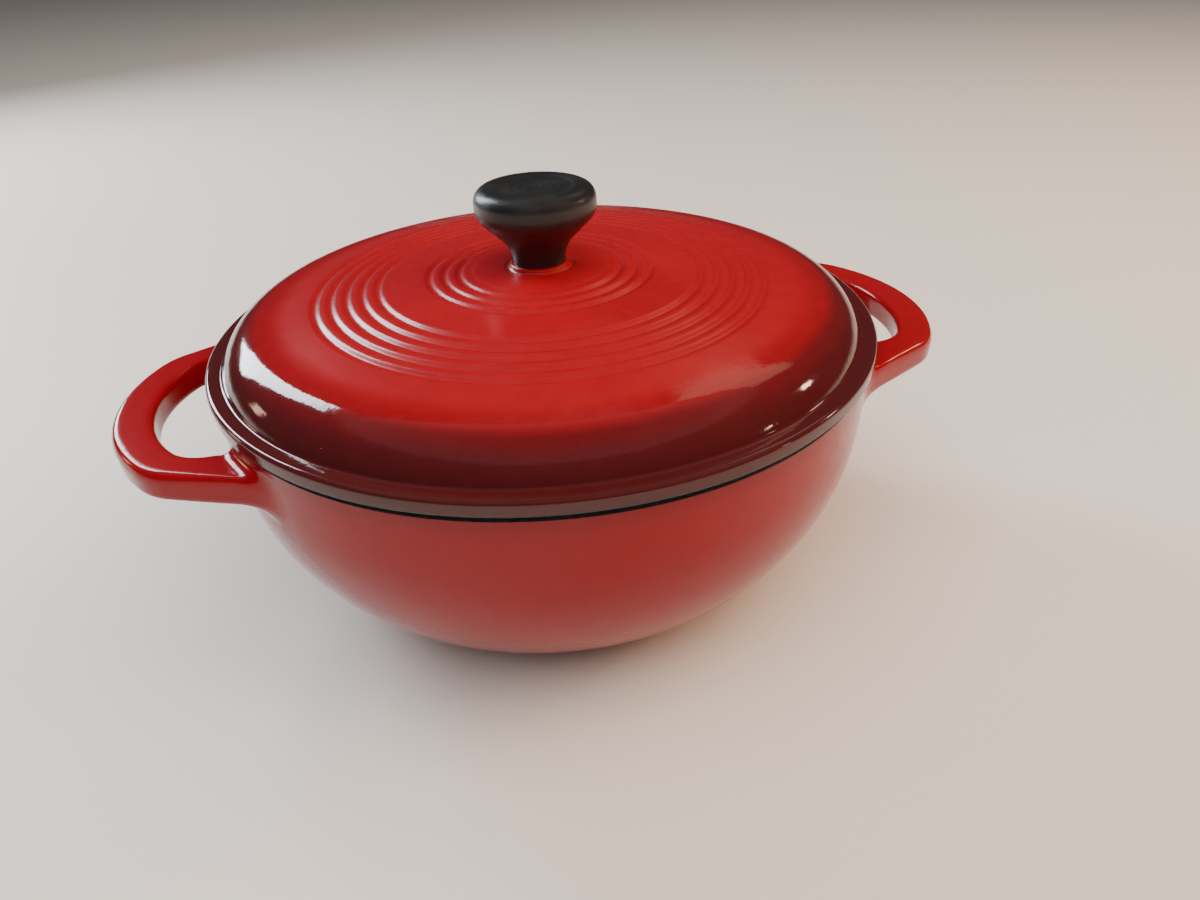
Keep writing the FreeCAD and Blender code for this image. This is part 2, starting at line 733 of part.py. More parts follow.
def make_knob():
    """A moulded mushroom knob with the insert's seat in it."""
    body = new_body("knob")
    base = size(BOSS_TOP)
    flare = math.radians(size("knob_flare"))
    neck, under, edge = size("knob_neck_radius"), size("knob_under_radius"), size("knob_edge_radius")
    wide, top = size("knob_radius"), size(KNOB_TOP)
    neck_centre = (size("knob_base_radius") + neck, base)
    neck_end = (size(FLARE_START), base + neck * math.sin(flare))
    under_start = (size(FLARE_END), neck_end[1] + size(FLARE_RISE))
    under_centre = (wide - under, under_start[1] + under * math.sin(flare))
    edge_centre = (wide - edge, top - edge)
    dish, dish_floor = size("knob_dish_radius"), top - size("knob_dish_depth")
    seat = [(size(across), size(up)) for across, up in insert_side()]
    outline = [
        (size("knob_base_radius"), base, neck_centre),
        neck_end,
        (*under_start, under_centre),
        (wide, under_centre[1]),
        (wide, edge_centre[1], edge_centre),
        (edge_centre[0], top),
        (dish + size("knob_dish_depth"), top),
        (dish, dish_floor),
        (0, dish_floor),
        (0, seat[-1][1]),
    ]
    section = Outline(body, "knob_section")
    section.path(outline + seat[::-1], smooth=(1, 2, 3, 4, 5))
    pins = [
        ("knob_base_radius", BOSS_TOP),
        (None, None),
        (None, None),
        ("knob_radius", None),
        (None, None),
        (None, KNOB_TOP),
        ("knob_dish_radius + knob_dish_depth", KNOB_TOP),
        ("knob_dish_radius", f"{KNOB_TOP} - knob_dish_depth"),
        ("0", f"{KNOB_TOP} - knob_dish_depth"),
        ("0", f"{BOSS_TOP} + insert_length"),
    ]
    for corner, (across, up) in enumerate(pins + insert_side()[::-1]):
        section.pin(corner, across, up)
    neck_arc, flare_line, under_arc, side_line, edge_arc = section.edges[:5]
    section.rule("Radius", neck_arc, by="knob_neck_radius")
    section.rule("DistanceY", *ORIGIN, neck_arc, CENTRE, by=BOSS_TOP)
    section.rule("Angle", flare_line, by="knob_flare")
    section.rule("Radius", under_arc, by="knob_under_radius")
    section.rule("Vertical", side_line)
    section.rule("Radius", edge_arc, by="knob_edge_radius")
    revolve(body, section, "knob_body")
    return body


def make_insert():
    """Threaded brass insert that is moulded into the knob."""
    body = new_body("knob_insert")
    section = Outline(body, "insert_section")
    inside = [(INSERT_BORE, f"{BOSS_TOP} + insert_length"), (INSERT_BORE, BOSS_TOP)]
    section.polygon(insert_side() + inside)
    revolve(body, section, "insert_body")
    return body


def make_screw():
    """Pan-head screw that comes up through the lid into the insert."""
    body = new_body("knob_screw")
    head_bottom = f"{HEAD_TOP} - screw_head_height"
    section = Outline(body, "screw_section")
    section.polygon(
        [
            ("0", head_bottom),
            (HEAD_RADIUS, head_bottom),
            (HEAD_RADIUS, HEAD_TOP),
            ("screw_radius", HEAD_TOP),
            ("screw_radius", SCREW_TOP),
            ("0", SCREW_TOP),
        ]
    )
    turned = revolve(body, section, "screw_body")
    head = ring_at((HEAD_RADIUS, head_bottom))
    rounded = round_edges(body, turned, "head_edge", head, "screw_head_round")
    before = rounded.Shape.Volume
    for name, across, along in (
        ("recess_x", "recess_length", "recess_width"),
        ("recess_y", "recess_width", "recess_length"),
    ):
        slot = Outline(body, name, "XY_Plane", head_bottom)
        slot.polygon(
            [
                (f"-{across} / 2", f"-{along} / 2"),
                (f"{across} / 2", f"-{along} / 2"),
                (f"{across} / 2", f"{along} / 2"),
                (f"-{across} / 2", f"{along} / 2"),
            ]
        )
        doc.recompute()
        pocket = body.newObject("PartDesign::Pocket", name + "_cut")
        pocket.Profile = slot.sketch
        pocket.Reversed = True
        pocket.setExpression("Length", tied("recess_depth"))
        doc.recompute()
        if pocket.Shape.Volume >= before:
            raise ValueError(f"screw: {name} cuts nothing")
        before = pocket.Shape.Volume
    return body


def make_washer(label, top, thickness, radius):
    """A flat ring round the screw, hanging from the height top."""
    body = new_body(label)
    section = Outline(body, label + "_section")
    bottom = f"{top} - {thickness}"
    corners = [(WASHER_BORE, bottom), (radius, bottom), (radius, top), (WASHER_BORE, top)]
    section.polygon(corners)
    revolve(body, section, label + "_ring")
    return body


def make_lock_washer():
    """A spring washer, pressed flat by the screw, with its slit on the +X side."""
    label = "spring_washer"
    body = make_washer(label, WASHER_UNDERSIDE, "lock_washer_thickness", LOCK_WASHER_RADIUS)
    before = body.Tip.Shape.Volume
    slit = Outline(body, "slit", "XY_Plane", HEAD_TOP)
    slit.polygon(
        [
            ("screw_radius", "-lock_washer_slit / 2"),
            (f"{LOCK_WASHER_RADIUS} + washer_clearance", "-lock_washer_slit / 2"),
            (f"{LOCK_WASHER_RADIUS} + washer_clearance", "lock_washer_slit / 2"),
            ("screw_radius", "lock_washer_slit / 2"),
        ]
    )
    doc.recompute()
    cut = body.newObject("PartDesign::Pocket", "slit_cut")
    cut.Profile = slit.sketch
    cut.Reversed = True
    cut.setExpression("Length", tied("lock_washer_thickness"))
    doc.recompute()
    if cut.Shape.Volume >= before:
        raise ValueError("spring_washer: the slit cuts nothing")
    return body


# ---------------------------------------------------------------- build, check and write

pieces = [
    make_pot(),
    make_lid(),
    make_knob(),
    make_insert(),
    make_screw(),
    make_washer("flat_washer", PAD_UNDERSIDE, "washer_thickness", WASHER_RADIUS),
    make_lock_washer(),
]
doc.recompute()

for item in doc.Objects:
    if "Invalid" in item.State or "Error" in item.State:
        raise ValueError(f"{item.Name} failed: {item.State}")
for piece in pieces:
    shape = piece.Shape
    if shape.isNull() or not shape.isValid() or len(shape.Solids) != 1:
        raise ValueError(f"{piece.Label} is not one valid solid")

os.makedirs("parts", exist_ok=True)
for piece in pieces:
    piece.Shape.exportStep(f"parts/{piece.Label}.step")
    box = piece.Shape.BoundBox
    print(f"{piece.Label}: {box.XLength:.1f} x {box.YLength:.1f} x {box.ZLength:.1f} mm,", end=" ")
    print(f"z {box.ZMin:.1f} to {box.ZMax:.1f}, {piece.Shape.Volume / 1000:.1f} cm3")
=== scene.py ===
"""Enamelled cast iron dutch oven: pot, ringed lid and phenolic knob, as turned and swept pieces."""
import math

import bmesh
import bpy
from mathutils import Matrix, Vector


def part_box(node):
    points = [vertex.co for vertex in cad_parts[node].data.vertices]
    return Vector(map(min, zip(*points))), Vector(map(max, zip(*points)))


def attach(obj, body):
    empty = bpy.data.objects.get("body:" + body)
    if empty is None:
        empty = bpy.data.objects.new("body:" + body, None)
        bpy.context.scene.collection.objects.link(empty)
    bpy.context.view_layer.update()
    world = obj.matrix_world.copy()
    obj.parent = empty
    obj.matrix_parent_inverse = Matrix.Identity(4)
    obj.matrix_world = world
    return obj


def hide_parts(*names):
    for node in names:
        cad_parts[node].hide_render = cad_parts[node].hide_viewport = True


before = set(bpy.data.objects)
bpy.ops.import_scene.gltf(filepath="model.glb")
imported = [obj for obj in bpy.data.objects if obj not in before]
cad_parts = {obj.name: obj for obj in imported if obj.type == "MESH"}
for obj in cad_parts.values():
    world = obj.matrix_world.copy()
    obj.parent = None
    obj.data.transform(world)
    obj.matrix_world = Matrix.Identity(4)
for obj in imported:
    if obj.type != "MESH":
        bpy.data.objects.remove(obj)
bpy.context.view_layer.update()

MM = 0.001
TURN = 2 * math.pi
RIB_DEPTH = 4.0                                # the lid's locating rib, in the pot's mouth
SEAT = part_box("lid")[0][2] / MM + RIB_DEPTH    # underside of the lid's flange, on the rim
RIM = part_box("pot")[1][2] / MM                 # top of the pot's rim
BOSS_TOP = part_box("lid")[1][2] / MM            # where the knob stands
LID_RADIUS = 138.0


# ------------------------------------------------------------------ mesh helpers

class Profile:
    """Half a cross-section in millimetres, drawn from point to point and then turned."""

    def __init__(self, radius, height):
        self.mesh = bmesh.new()
        self.tip = self.mesh.verts.new((radius, 0, height))
        self.first = self.tip

    def line(self, radius, height, steps=1):
        start = self.tip.co.copy()
        goal = Vector((radius, 0, height))
        for step in range(1, steps + 1):
            point = self.mesh.verts.new(start.lerp(goal, step / steps))
            self.mesh.edges.new((self.tip, point))
            self.tip = point

    def arc(self, radius, height, centre, steps):
        """An arc of less than half a turn about a centre."""
        middle = Vector((centre[0], 0, centre[1]))
        goal = Vector((radius, 0, height))
        here, there = self.tip.co - middle, goal - middle
        angle = here.angle(there)
        if here.cross(there).y < 0:
            angle = -angle
        made = bmesh.ops.spin(
            self.mesh, geom=[self.tip], cent=middle, axis=(0, 1, 0), dvec=(0, 0, 0),
            angle=angle, steps=steps, use_merge=False, use_duplicate=False,
        )
        self.tip = next(v for v in made["geom_last"] if isinstance(v, bmesh.types.BMVert))
        self.tip.co = goal

    def close(self):
        self.mesh.edges.new((self.tip, self.first))

    def turn(self, steps):
        """Spins the section once round the upright axis and returns the closed surface."""
        mesh = self.mesh
        bmesh.ops.spin(
            mesh, geom=mesh.verts[:] + mesh.edges[:], cent=(0, 0, 0), axis=(0, 0, 1),
            dvec=(0, 0, 0), angle=TURN, steps=steps, use_merge=True, use_duplicate=False,
        )
        bmesh.ops.remove_doubles(mesh, verts=mesh.verts, dist=0.0005)
        bmesh.ops.recalc_face_normals(mesh, faces=mesh.faces)
        return mesh


def finish_piece(mesh, name, body, finishes, choose=None, crease=32):
    """Scales a mesh to metres, and makes it a smooth-shaded piece that rides on a body."""
    bmesh.ops.scale(mesh, vec=(MM, MM, MM), verts=mesh.verts)
    if choose:
        for face in mesh.faces:
            face.material_index = choose(face)
    data = bpy.data.meshes.new(name)
    mesh.to_mesh(data)
    mesh.free()
    data.polygons.foreach_set("use_smooth", [True] * len(data.polygons))
    data.set_sharp_from_angle(angle=math.radians(crease))
    piece = bpy.data.objects.new(name, data)
    bpy.context.scene.collection.objects.link(piece)
    for finish in finishes:
        data.materials.append(finish)
    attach(piece, body)
    return piece


# ------------------------------------------------------------------ shader helpers

class Tree:
    """A node tree with a short way to add nodes and join them."""

    def __init__(self, tree):
        self.tree = tree

    def add(self, kind, *inputs, **settings):
        """Adds a node: settings are its properties, inputs are links or values in order."""
        node = self.tree.nodes.new("ShaderNode" + kind)
        for key, value in settings.items():
            setattr(node, key, value)
        for socket, value in zip(node.inputs, inputs):
            self.feed(socket, value)
        return node

    def feed(self, socket, value):
        if isinstance(value, bpy.types.NodeSocket):
            self.tree.links.new(value, socket)
        elif value is not None:
            socket.default_value = value

    def math(self, operation, *inputs, clamp=False):
        return self.add("Math", *inputs, operation=operation, use_clamp=clamp).outputs[0]

    def ramp(self, value, *stops):
        """A smooth colour ramp; each stop is a place and a grey or a colour."""
        node = self.add("ValToRGB", value)
        node.color_ramp.interpolation = "EASE"
        elements = node.color_ramp.elements
        while len(elements) < len(stops):
            elements.new(1)
        for element, (place, colour) in zip(elements, stops):
            element.position = place
            grey = isinstance(colour, (int, float))
            element.color = (colour, colour, colour, 1) if grey else (*colour, 1)
        return node.outputs[0]

    def mix(self, share, one, other, blend="MIX"):
        node = self.add("Mix", data_type="RGBA", blend_type=blend)
        for name, value in (("Factor", share), ("A", one), ("B", other)):
            kind = "Float" if name == "Factor" else "Color"
            socket = next(s for s in node.inputs if s.identifier == f"{name}_{kind}")
            if name != "Factor" and isinstance(value, tuple):
                value = (*value, 1)
            self.feed(socket, value)
        return next(s for s in node.outputs if s.identifier == "Result_Color")

    def noise(self, where, scale, detail=2):
        node = self.add("TexNoise")
        for name, value in (("Vector", where), ("Scale", scale), ("Detail", detail)):
            self.feed(node.inputs[name], value)
        return node.outputs[0]


def effect(name, inputs, outputs):
    """Starts a shared effect group and returns its tree, inputs and outputs."""
    group = bpy.data.node_groups.new(name, "ShaderNodeTree")
    for label, value in inputs:
        socket = group.interface.new_socket(label, in_out="INPUT", socket_type="NodeSocketFloat")
        socket.default_value = value
    for label in outputs:
        group.interface.new_socket(label, in_out="OUTPUT", socket_type="NodeSocketFloat")
    tree = Tree(group)
    given = group.nodes.new("NodeGroupInput").outputs
    result = group.nodes.new("NodeGroupOutput").inputs
    return tree, given, result


def orange_peel():
    """Height of fired enamel: broad flow waves, finer dimples, and a pinhole here and there."""
    tree, given, result = effect("orange_peel", [("Flow", 60), ("Dimple", 420)], ["Height"])
    where = tree.add("TexCoord").outputs["Object"]
    flow = tree.noise(where, given["Flow"], 1.5)
    dimple = tree.noise(where, given["Dimple"], 2)
    both = tree.math("MULTIPLY_ADD", dimple, 0.16, flow)
    holes = tree.add("TexVoronoi", where, None, 260).outputs["Distance"]
    hole = tree.math("LESS_THAN", holes, 0.05)
    tree.feed(result["Height"], tree.math("MULTIPLY_ADD", hole, -0.12, both))
    return tree.tree


def specks():
    """Mask of scattered small specks, such as dust or colour flecks in enamel."""
    tree, given, result = effect("specks", [("Scale", 300), ("Reach", 0.12)], ["Mask"])
    where = tree.add("TexCoord").outputs["Object"]
    cells = tree.add("TexVoronoi", where, None, given["Scale"])
    near = tree.math("LESS_THAN", cells.outputs["Distance"], given["Reach"])
    patch = tree.math("GREATER_THAN", tree.noise(where, 25, 2), 0.53)
    tree.feed(result["Mask"], tree.math("MULTIPLY", near, patch))
    return tree.tree


def axis_distance():
    """Distance from the upright axis and height, both in metres."""
    tree, _, result = effect("axis_distance", [], ["Radius", "Height"])
    split = tree.add("SeparateXYZ", tree.add("TexCoord").outputs["Object"]).outputs
    across = tree.math("MULTIPLY", split["Y"], split["Y"])
    square = tree.math("MULTIPLY_ADD", split["X"], split["X"], across)
    tree.feed(result["Radius"], tree.math("SQRT", square))
    tree.feed(result["Height"], split["Z"])
    return tree.tree


PEEL, SPECKS, AXIS = orange_peel(), specks(), axis_distance()


class Finish(Tree):
    """A material with one Principled shader."""

    def __init__(self, name, **sockets):
        self.material = bpy.data.materials.new(name)
        self.material.use_nodes = True
        super().__init__(self.material.node_tree)
        self.shader = self.tree.nodes["Principled BSDF"]
        self.set(**sockets)

    def set(self, **sockets):
        for name, value in sockets.items():
            if isinstance(value, tuple) and len(value) == 3:
                value = (*value, 1)
            self.feed(self.shader.inputs[name.replace("_", " ")], value)

    def group(self, tree, **values):
        node = self.add("Group", node_tree=tree)
        for name, value in values.items():
            self.feed(node.inputs[name], value)
        return node.outputs

    def relief(self, height, distance):
        bump = self.add("Bump")
        for name, value in (("Distance", distance), ("Height", height)):
            self.feed(bump.inputs[name], value)
        self.set(Normal=bump.outputs[0])


def enamel(name, colour, roughness, specular=0.5):
    """A glossy fired enamel; colour(finish) and roughness(finish) build what varies."""
    finish = Finish(name, IOR=1.5, Specular_IOR_Level=specular)
    finish.set(Base_Color=colour(finish))
    where = finish.add("TexCoord").outputs["Object"]
    cloud = finish.noise(where, 45, 3)
    finish.set(Roughness=finish.math("MULTIPLY_ADD", cloud, 0.06, roughness(finish)))
    peel = finish.group(PEEL, Flow=60, Dimple=420)["Height"]
    finish.relief(peel, 0.22 * MM)
    return finish.material


def lid_red(finish):
    """Bright red in the middle, shading to deep maroon over the shoulder and flange."""
    place = finish.group(AXIS)
    where = finish.add("TexCoord").outputs["Object"]
    drift = finish.math("MULTIPLY_ADD", finish.noise(where, 18, 2), 0.004, -0.002)
    reach = finish.math("ADD", place["Radius"], drift)
    share = finish.math("DIVIDE", reach, LID_RADIUS * MM, clamp=True)
    shade = finish.ramp(
        share,
        (0.0, (0.37, 0.006, 0.012)), (0.76, (0.34, 0.006, 0.011)), (0.83, (0.26, 0.006, 0.010)),
        (0.88, (0.12, 0.008, 0.010)), (0.93, (0.075, 0.008, 0.009)), (1.0, (0.066, 0.010, 0.010)),
    )
    mottle = finish.ramp(finish.noise(where, 160, 4), (0.3, 0.93), (0.7, 1.0))
    shade = finish.mix(1.0, shade, mottle, "MULTIPLY")
    fleck = finish.group(SPECKS, Scale=420, Reach=0.10)["Mask"]
    return finish.mix(finish.math("MULTIPLY", fleck, 0.25), shade, (0.12, 0.004, 0.004))


def lid_gloss(finish):
    """Satin on the dome and glossy on the shoulder and flange."""
    share = finish.math("DIVIDE", finish.group(AXIS)["Radius"], LID_RADIUS * MM, clamp=True)
    return finish.ramp(share, (0.0, 0.26), (0.74, 0.22), (0.82, 0.05), (1.0, 0.05))


def pot_red(finish):
    """Plain red, a little deeper under the rim and towards the foot."""
    place = finish.group(AXIS)
    where = finish.add("TexCoord").outputs["Object"]
    height = finish.math("DIVIDE", place["Height"], RIM * MM, clamp=True)
    shade = finish.ramp(
        height,
        (0.0, (0.11, 0.005, 0.008)), (0.10, (0.22, 0.005, 0.008)), (0.3, (0.27, 0.005, 0.009)),
        (0.90, (0.29, 0.005, 0.010)), (0.975, (0.24, 0.005, 0.009)), (1.0, (0.08, 0.004, 0.005)),
    )
    mottle = finish.ramp(finish.noise(where, 130, 4), (0.3, 0.94), (0.7, 1.0))
    shade = finish.mix(1.0, shade, mottle, "MULTIPLY")
    fleck = finish.group(SPECKS, Scale=380, Reach=0.10)["Mask"]
    return finish.mix(finish.math("MULTIPLY", fleck, 0.25), shade, (0.12, 0.004, 0.004))


def cream(finish):
    """Off-white with fine tan flecks."""
    where = finish.add("TexCoord").outputs["Object"]
    cloud = finish.noise(where, 40, 4)
    shade = finish.ramp(cloud, (0.3, (0.70, 0.62, 0.47)), (0.7, (0.78, 0.71, 0.57)))
    fleck = finish.group(SPECKS, Scale=650, Reach=0.16)["Mask"]
    return finish.mix(finish.math("MULTIPLY", fleck, 0.45), shade, (0.36, 0.26, 0.15))


def rim_black(finish):
    """Thin black enamel, where the cast iron's grain shows through."""
    where = finish.add("TexCoord").outputs["Object"]
    grain = finish.noise(where, 700, 4)
    return finish.ramp(grain, (0.35, (0.006, 0.006, 0.007)), (0.7, (0.022, 0.02, 0.02)))


def rough_black():
    finish = Finish("black_rim_enamel", IOR=1.5)
    finish.set(Base_Color=rim_black(finish))
    where = finish.add("TexCoord").outputs["Object"]
    grain = finish.noise(where, 900, 4)
    finish.set(Roughness=finish.math("MULTIPLY_ADD", grain, 0.2, 0.3))
    finish.relief(grain, 0.12 * MM)
    return finish.material


def phenolic():
    """Satin moulded phenolic with a fine grain, dust and faint rubbed patches."""
    finish = Finish("black_phenolic", IOR=1.55, Coat_Weight=0.12, Coat_Roughness=0.3)
    where = finish.add("TexCoord").outputs["Object"]
    cloud = finish.noise(where, 60, 4)
    base = finish.ramp(cloud, (0.3, (0.010, 0.010, 0.010)), (0.75, (0.020, 0.019, 0.018)))
    dust = finish.group(SPECKS, Scale=900, Reach=0.10)["Mask"]
    finish.set(Base_Color=finish.mix(finish.math("MULTIPLY", dust, 0.30), base, (0.12, 0.12, 0.12)))
    finish.set(Roughness=finish.math("MULTIPLY_ADD", cloud, 0.16, 0.30))
    finish.relief(finish.noise(where, 1500, 3), 0.04 * MM)
    return finish.material


def turned_metal(name, roughness, dull, bright):
    """Lathe-turned metal: fine rings about the axis, with handling marks."""
    finish = Finish(name, Metallic=1.0)
    where = finish.add("TexCoord").outputs["Object"]
    place = finish.group(AXIS)
    rings = finish.math("SINE", finish.math("MULTIPLY", place["Radius"], 42000))
    smudge = finish.noise(where, 300, 3)
    finish.set(Base_Color=finish.ramp(smudge, (0.3, dull), (0.7, bright)))
    finish.set(Roughness=finish.math("MULTIPLY_ADD", smudge, 0.2, roughness))
    finish.relief(finish.math("MULTIPLY_ADD", rings, 0.5, smudge), 0.02 * MM)
    return finish.material


lid_enamel = enamel("lid_red_enamel", lid_red, lid_gloss)
pot_enamel = enamel("pot_red_enamel", pot_red, lambda finish: 0.10, specular=0.3)
cream_enamel = enamel("cream_enamel", cream, lambda finish: 0.10)
black_enamel = rough_black()
phenolic_black = phenolic()
steel = turned_metal("bright_steel", 0.2, (0.45, 0.45, 0.46), (0.62, 0.62, 0.62))
brass = turned_metal("turned_brass", 0.25, (0.52, 0.35, 0.13), (0.72, 0.50, 0.20))


# ------------------------------------------------------------------ lid

DOME = 680.0
WALL = 4.5
SHOULDER_START = (115.0, SEAT + 20.1)
DOME_CENTRE = SHOULDER_START[1] - math.sqrt(DOME ** 2 - SHOULDER_START[0] ** 2)
FLANGE_INSIDE, FLANGE_TOP = 132.5, SEAT + 6.2
FOOT_ROUND = 1.5                               # where the dome rises from the flange
RIB_OUTSIDE, RIB_INSIDE = 128.3, 123.8
SCREW_HOLE, BOSS, SEAT_PAD = 3.5, 12.4, 11.0   # radii in the middle of the lid
UPPER_ROUND, UNDER_ROUND = 1.8, 1.2            # edges of the flange
RINGS = [92.6 - 6.4 * i for i in range(5)] + [46.0 - 6.2 * i for i in range(3)]
RING_DEPTH, RING_WIDTH = 0.9, 5.0


def dome_height(radius, dome=DOME):
    return DOME_CENTRE + math.sqrt(dome ** 2 - radius ** 2)


def shoulder_arcs():
    """Centre and radius of the shoulder's arc, and where it meets the foot's arc."""
    start = Vector(SHOULDER_START)
    inward = Vector((0, DOME_CENTRE)) - start
    inward.normalize()
    foot = Vector((FLANGE_INSIDE, FLANGE_TOP + FOOT_ROUND))
    gap = start - foot
    radius = (gap.length_squared - FOOT_ROUND ** 2) / (2 * (FOOT_ROUND - gap.dot(inward)))
    centre = start + inward * radius
    meeting = centre.lerp(foot, radius / (radius + FOOT_ROUND))
    return centre, radius, meeting


def make_lid():
    centre, shoulder, meeting = shoulder_arcs()
    inner = shoulder - WALL
    rib_out, rib_in, rib_low = RIB_OUTSIDE, RIB_INSIDE, SEAT - RIB_DEPTH
    rib_top = centre.y + math.sqrt(inner ** 2 - (rib_in - centre.x) ** 2)
    turn_in = centre + (Vector(SHOULDER_START) - centre) * (inner / shoulder)
    pad_low = dome_height(0, DOME - WALL) - 1.0
    boss_end = BOSS + 1.8
    lid = Profile(SCREW_HOLE, BOSS_TOP)
    lid.line(BOSS - 1.2, BOSS_TOP, 4)
    lid.arc(BOSS, BOSS_TOP - 1.2, (BOSS - 1.2, BOSS_TOP - 1.2), 5)
    lid.line(BOSS, dome_height(boss_end - 0.2) + 1.0)
    lid.arc(boss_end, dome_height(boss_end), (boss_end, dome_height(boss_end) + 1.8), 5)
    lid.arc(*SHOULDER_START, (0, DOME_CENTRE), 200)
    lid.arc(*meeting, centre, 40)
    lid.arc(FLANGE_INSIDE, FLANGE_TOP, (FLANGE_INSIDE, FLANGE_TOP + FOOT_ROUND), 10)
    upper, under = UPPER_ROUND, UNDER_ROUND
    lid.line(LID_RADIUS - upper, FLANGE_TOP, 3)
    lid.arc(LID_RADIUS, FLANGE_TOP - upper, (LID_RADIUS - upper, FLANGE_TOP - upper), 7)
    lid.line(LID_RADIUS, SEAT + under, 3)
    lid.arc(LID_RADIUS - under, SEAT, (LID_RADIUS - under, SEAT + under), 5)
    lid.line(rib_out, SEAT, 3)
    lid.line(rib_out, rib_low + under, 2)
    lid.arc(rib_out - under, rib_low, (rib_out - under, rib_low + under), 5)
    lid.line(rib_in + under, rib_low, 2)
    lid.arc(rib_in, rib_low + under, (rib_in + under, rib_low + under), 5)
    lid.line(rib_in, rib_top, 4)
    lid.arc(*turn_in, centre, 16)
    lid.arc(SEAT_PAD + 0.8, dome_height(SEAT_PAD + 0.8, DOME - WALL), (0, DOME_CENTRE), 30)
    lid.line(SEAT_PAD, pad_low, 2)
    lid.line(SCREW_HOLE, pad_low, 4)
    lid.close()
    for point in lid.mesh.verts:
        radius = point.co.x
        if point.co.z < dome_height(radius) - 1 or not 14.5 < radius < SHOULDER_START[0]:
            continue
        for ring in RINGS:
            part = abs(radius - ring) / (RING_WIDTH / 2)
            if part < 1:
                point.co.z -= RING_DEPTH * math.cos(part * math.pi / 2) ** 2
        point.co.z += 0.35 / (1 + math.exp((radius - 27.8) / 0.45))
    mesh = lid.turn(256)

    def choose(face):
        """Red outside, black on the seat and rib, cream in the hollow."""
        spot = face.calc_center_median() / MM
        reach = math.hypot(spot.x, spot.y)
        if reach <= SHOULDER_START[0]:
            skin = dome_height(reach)
        elif reach <= meeting.x:
            skin = centre.y + math.sqrt(shoulder ** 2 - (reach - centre.x) ** 2)
        else:
            skin = FLANGE_TOP
        if spot.z > skin - 2.4 or (reach > LID_RADIUS - 1.5 and spot.z > SEAT + 1.3):
            return 0
        return 2 if reach > RIB_INSIDE - 0.3 else 1

    return finish_piece(
        mesh, "lid_casting", "lid_body",
        [lid_enamel, cream_enamel, black_enamel], choose, crease=40,
    )


# ------------------------------------------------------------------ pot

POT_RADIUS, WIDEST = 136.0, RIM - 2.2
TAPER = math.radians(2.8)
BOWL = 92.0
FOOT = (60.0, 1.5)
MOUTH, LAND = 129.7, 134.6                     # inner and outer edge of the rim's flat top
FOOT_INSIDE = 51.4


def bowl_centre():
    """Centre of the arc that leaves the tapered side smoothly and ends on the foot."""
    out = Vector((math.cos(TAPER), -math.sin(TAPER)))
    down = Vector((-math.sin(TAPER), -math.cos(TAPER)))
    start = Vector((POT_RADIUS, WIDEST)) - out * BOWL - Vector(FOOT)
    along = start.dot(down)
    slide = -along - math.sqrt(along ** 2 - start.length_squared + BOWL ** 2)
    return start + Vector(FOOT) + down * slide


BOWL_CENTRE = bowl_centre()
TAPER_END = BOWL_CENTRE + Vector((math.cos(TAPER), -math.sin(TAPER))) * BOWL


def wall_radius(height):
    """Outer radius of the pot at a height."""
    if height > TAPER_END.y:
        return POT_RADIUS - math.tan(TAPER) * (WIDEST - height)
    return BOWL_CENTRE.x + math.sqrt(BOWL ** 2 - (height - BOWL_CENTRE.y) ** 2)


def make_pot():
    inside = BOWL - WALL
    floor = 6.2
    inner_end = BOWL_CENTRE + (TAPER_END - BOWL_CENTRE) * (inside / BOWL)
    blend = RIM - 14
    inner_top = inner_end.x + (blend - inner_end.y) * math.tan(TAPER)
    floor_arc = BOWL_CENTRE.x + math.sqrt(inside ** 2 - (BOWL_CENTRE.y - floor) ** 2)
    pot = Profile(0, 1.0)
    pot.line(FOOT_INSIDE - 0.8, 1.0, 4)
    pot.arc(FOOT_INSIDE, 0.2, (FOOT_INSIDE, 1.0), 3)
    pot.line(FOOT_INSIDE + 1.0, 0.0, 1)
    pot.line(FOOT_INSIDE + 7.0, 0.0, 2)
    pot.arc(*FOOT, (FOOT_INSIDE + 7.0, 1.7), 6)
    pot.arc(*TAPER_END, BOWL_CENTRE, 70)
    pot.line(POT_RADIUS, WIDEST, 12)
    pot.line(LAND + 0.5, RIM - 0.9, 2)
    pot.arc(LAND - 0.6, RIM, (LAND - 0.6, RIM - 1.3), 5)
    pot.line(MOUTH + 0.8, RIM, 3)
    pot.arc(MOUTH, RIM - 0.8, (MOUTH + 0.8, RIM - 0.8), 4)
    pot.line(MOUTH, RIM - 6.4, 3)
    pot.line(inner_top, blend, 6)
    pot.line(*inner_end, 6)
    pot.arc(floor_arc + 3, floor + 1.1, BOWL_CENTRE, 60)
    pot.line(floor_arc - 6, floor, 4)
    pot.line(0, floor, 8)
    mesh = pot.turn(256)

    def choose(face):
        """Black on the rim's bevel, top and mouth, cream inside and red outside."""
        spot = face.calc_center_median()
        reach = math.hypot(spot.x, spot.y)
        bevel = spot.z > (RIM - 2.1) * MM
        if bevel or (spot.z > (RIM - 9) * MM and reach < (MOUTH + 0.5) * MM):
            return 2
        inner = spot.z > 0.004 and face.normal.dot(Vector((spot.x, spot.y, -0.02))) < 0
        return 1 if inner else 0

    return finish_piece(
        mesh, "pot_casting", "pot_body",
        [pot_enamel, cream_enamel, black_enamel], choose, crease=35,
    )


# ------------------------------------------------------------------ loop handles

LOOP_TOP, LOOP_LOW = RIM - 7.6, RIM - 19.6
ROOT_RADIUS = wall_radius((LOOP_TOP + LOOP_LOW) / 2)
ARM_LEAN = math.radians(25)
ROOT_ROUND = 24.0
UNDER_BLEND, TOP_BLEND, GAP_BLEND = 8.5, 4.8, 5.0     # radii where a loop meets the wall
BEND_FROM, BEND_TO = 13.0, 7.0                        # distances over which a loop takes the wall's curve


